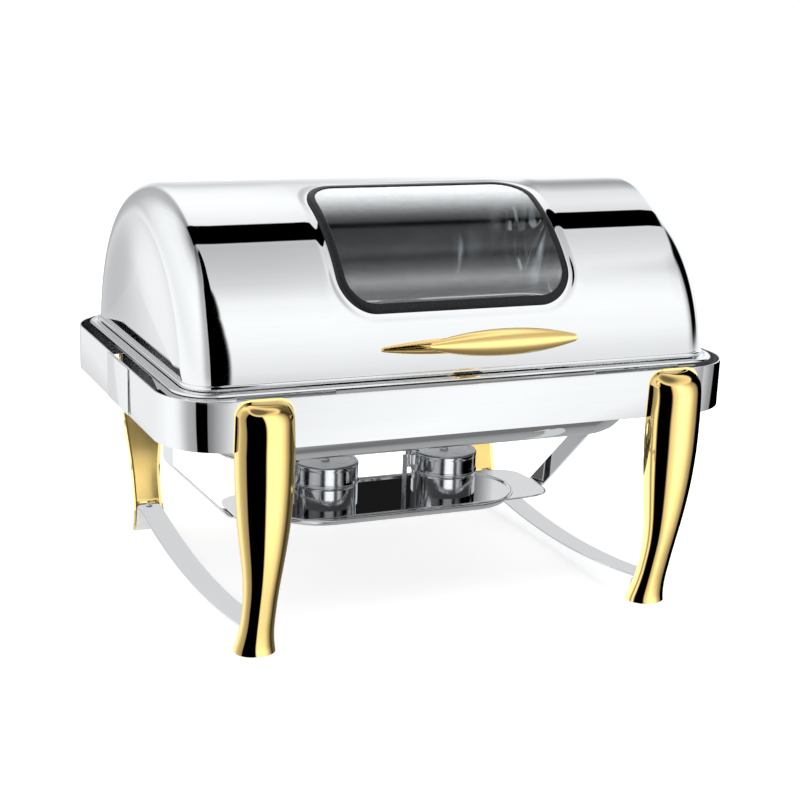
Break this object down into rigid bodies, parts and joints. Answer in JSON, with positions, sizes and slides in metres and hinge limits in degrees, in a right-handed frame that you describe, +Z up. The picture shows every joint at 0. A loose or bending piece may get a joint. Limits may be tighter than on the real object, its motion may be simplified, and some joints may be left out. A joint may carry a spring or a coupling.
{
  "type": "roll-top chafing dish",
  "caption": "Roll-top chafing dish food warmer: steel dome with curved window over a water pan and food pan, on a banded stand with gold cabriole legs and gel burners.",
  "frame": {"origin": "on the floor under the middle of the stand", "axes": "+X along the dish to its right end, +Y to the hinged back, -Y to the handle, +Z up"},
  "size_m": [0.6215, 0.4926, 0.433],
  "materials": {
    "polished_steel": "mirror polished",
    "satin_steel": "satin",
    "gold_plate": "polished gold plate",
    "zinc_screw": "zinc plated",
    "tin_can": "satin",
    "black_rubber": "matt",
    "tinted_glass": "clear, lightly tinted",
    "white_nylon": "matt"
  },
  "bodies": {
    "stand": {"frame_band": "polished_steel", "band_joint_plate": "polished_steel", "leg_shell_front_left": "gold_plate", "leg_plate_front_left": "gold_plate", "foot_block_front_left": "white_nylon", "ankle_screw_front_left": "zinc_screw", "leg_bolt_front_left": "zinc_screw", "leg_shell_front_right": "gold_plate", "leg_plate_front_right": "gold_plate", "foot_block_front_right": "white_nylon", "ankle_screw_front_right": "zinc_screw", "leg_bolt_front_right": "zinc_screw", "leg_shell_rear_left": "gold_plate", "leg_plate_rear_left": "gold_plate", "foot_block_rear_left": "white_nylon", "ankle_screw_rear_left": "zinc_screw", "leg_bolt_rear_left": "zinc_screw", "leg_shell_rear_right": "gold_plate", "leg_plate_rear_right": "gold_plate", "foot_block_rear_right": "white_nylon", "ankle_screw_rear_right": "zinc_screw", "leg_bolt_rear_right": "zinc_screw", "side_stretcher_left": "polished_steel", "side_stretcher_right": "polished_steel", "tray_hanger_left": "polished_steel", "tray_hanger_right": "polished_steel", "pan_bracket_front_left": "satin_steel", "pan_bracket_front_right": "satin_steel", "pan_bracket_rear_left": "satin_steel", "pan_bracket_rear_right": "satin_steel", "water_pan": "polished_steel", "lid_bumper": "black_rubber", "hinge_leaf_frame_left": "satin_steel", "hinge_pin_left": "zinc_screw", "hinge_leaf_frame_right": "satin_steel", "hinge_pin_right": "zinc_screw"},
    "food_pan": {"food_pan": "satin_steel"},
    "burner_tray": {"burner_tray": "polished_steel"},
    "fuel_left": {"fuel_holder_left": "polished_steel", "fuel_can_left": "tin_can", "damper_pin_left": "polished_steel"},
    "damper_left": {"damper_lid_left": "satin_steel"},
    "fuel_right": {"fuel_holder_right": "polished_steel", "fuel_can_right": "tin_can", "damper_pin_right": "polished_steel"},
    "damper_right": {"damper_lid_right": "satin_steel"},
    "cover": {"cover_shell": "polished_steel", "window_gasket": "black_rubber", "window_glass": "tinted_glass", "handle_bar": "gold_plate", "handle_stem": "gold_plate", "handle_screw": "zinc_screw", "hinge_leaf_cover_left": "satin_steel", "hinge_leaf_cover_right": "satin_steel"}
  },
  "joints": [
    {"name": "cover_hinge", "type": "hinge", "parent": "stand", "child": "cover", "pos_m": [0, 0.2072, 0.2675], "axis": [-1, 0, 0], "range_deg": [0, 95]},
    {"name": "food_pan_lift", "type": "slide", "parent": "stand", "child": "food_pan", "axis": [0, 0, 1], "range_m": [0, 0.066]},
    {"name": "burner_tray_pull_out", "type": "slide", "parent": "stand", "child": "burner_tray", "axis": [0, -1, 0], "range_m": [0, 0.25]},
    {"name": "fuel_left_lift", "type": "slide", "parent": "burner_tray", "child": "fuel_left", "axis": [0, 0, 1], "range_m": [0, 0.018]},
    {"name": "damper_left_swivel", "type": "hinge", "parent": "fuel_left", "child": "damper_left", "pos_m": [-0.1189, 0, 0.1275], "axis": [0, 0, -1], "range_deg": [0, 100]},
    {"name": "fuel_right_lift", "type": "slide", "parent": "burner_tray", "child": "fuel_right", "axis": [0, 0, 1], "range_m": [0, 0.018]},
    {"name": "damper_right_swivel", "type": "hinge", "parent": "fuel_right", "child": "damper_right", "pos_m": [0.0251, 0, 0.1275], "axis": [0, 0, -1], "range_deg": [0, 100]}
  ]
}
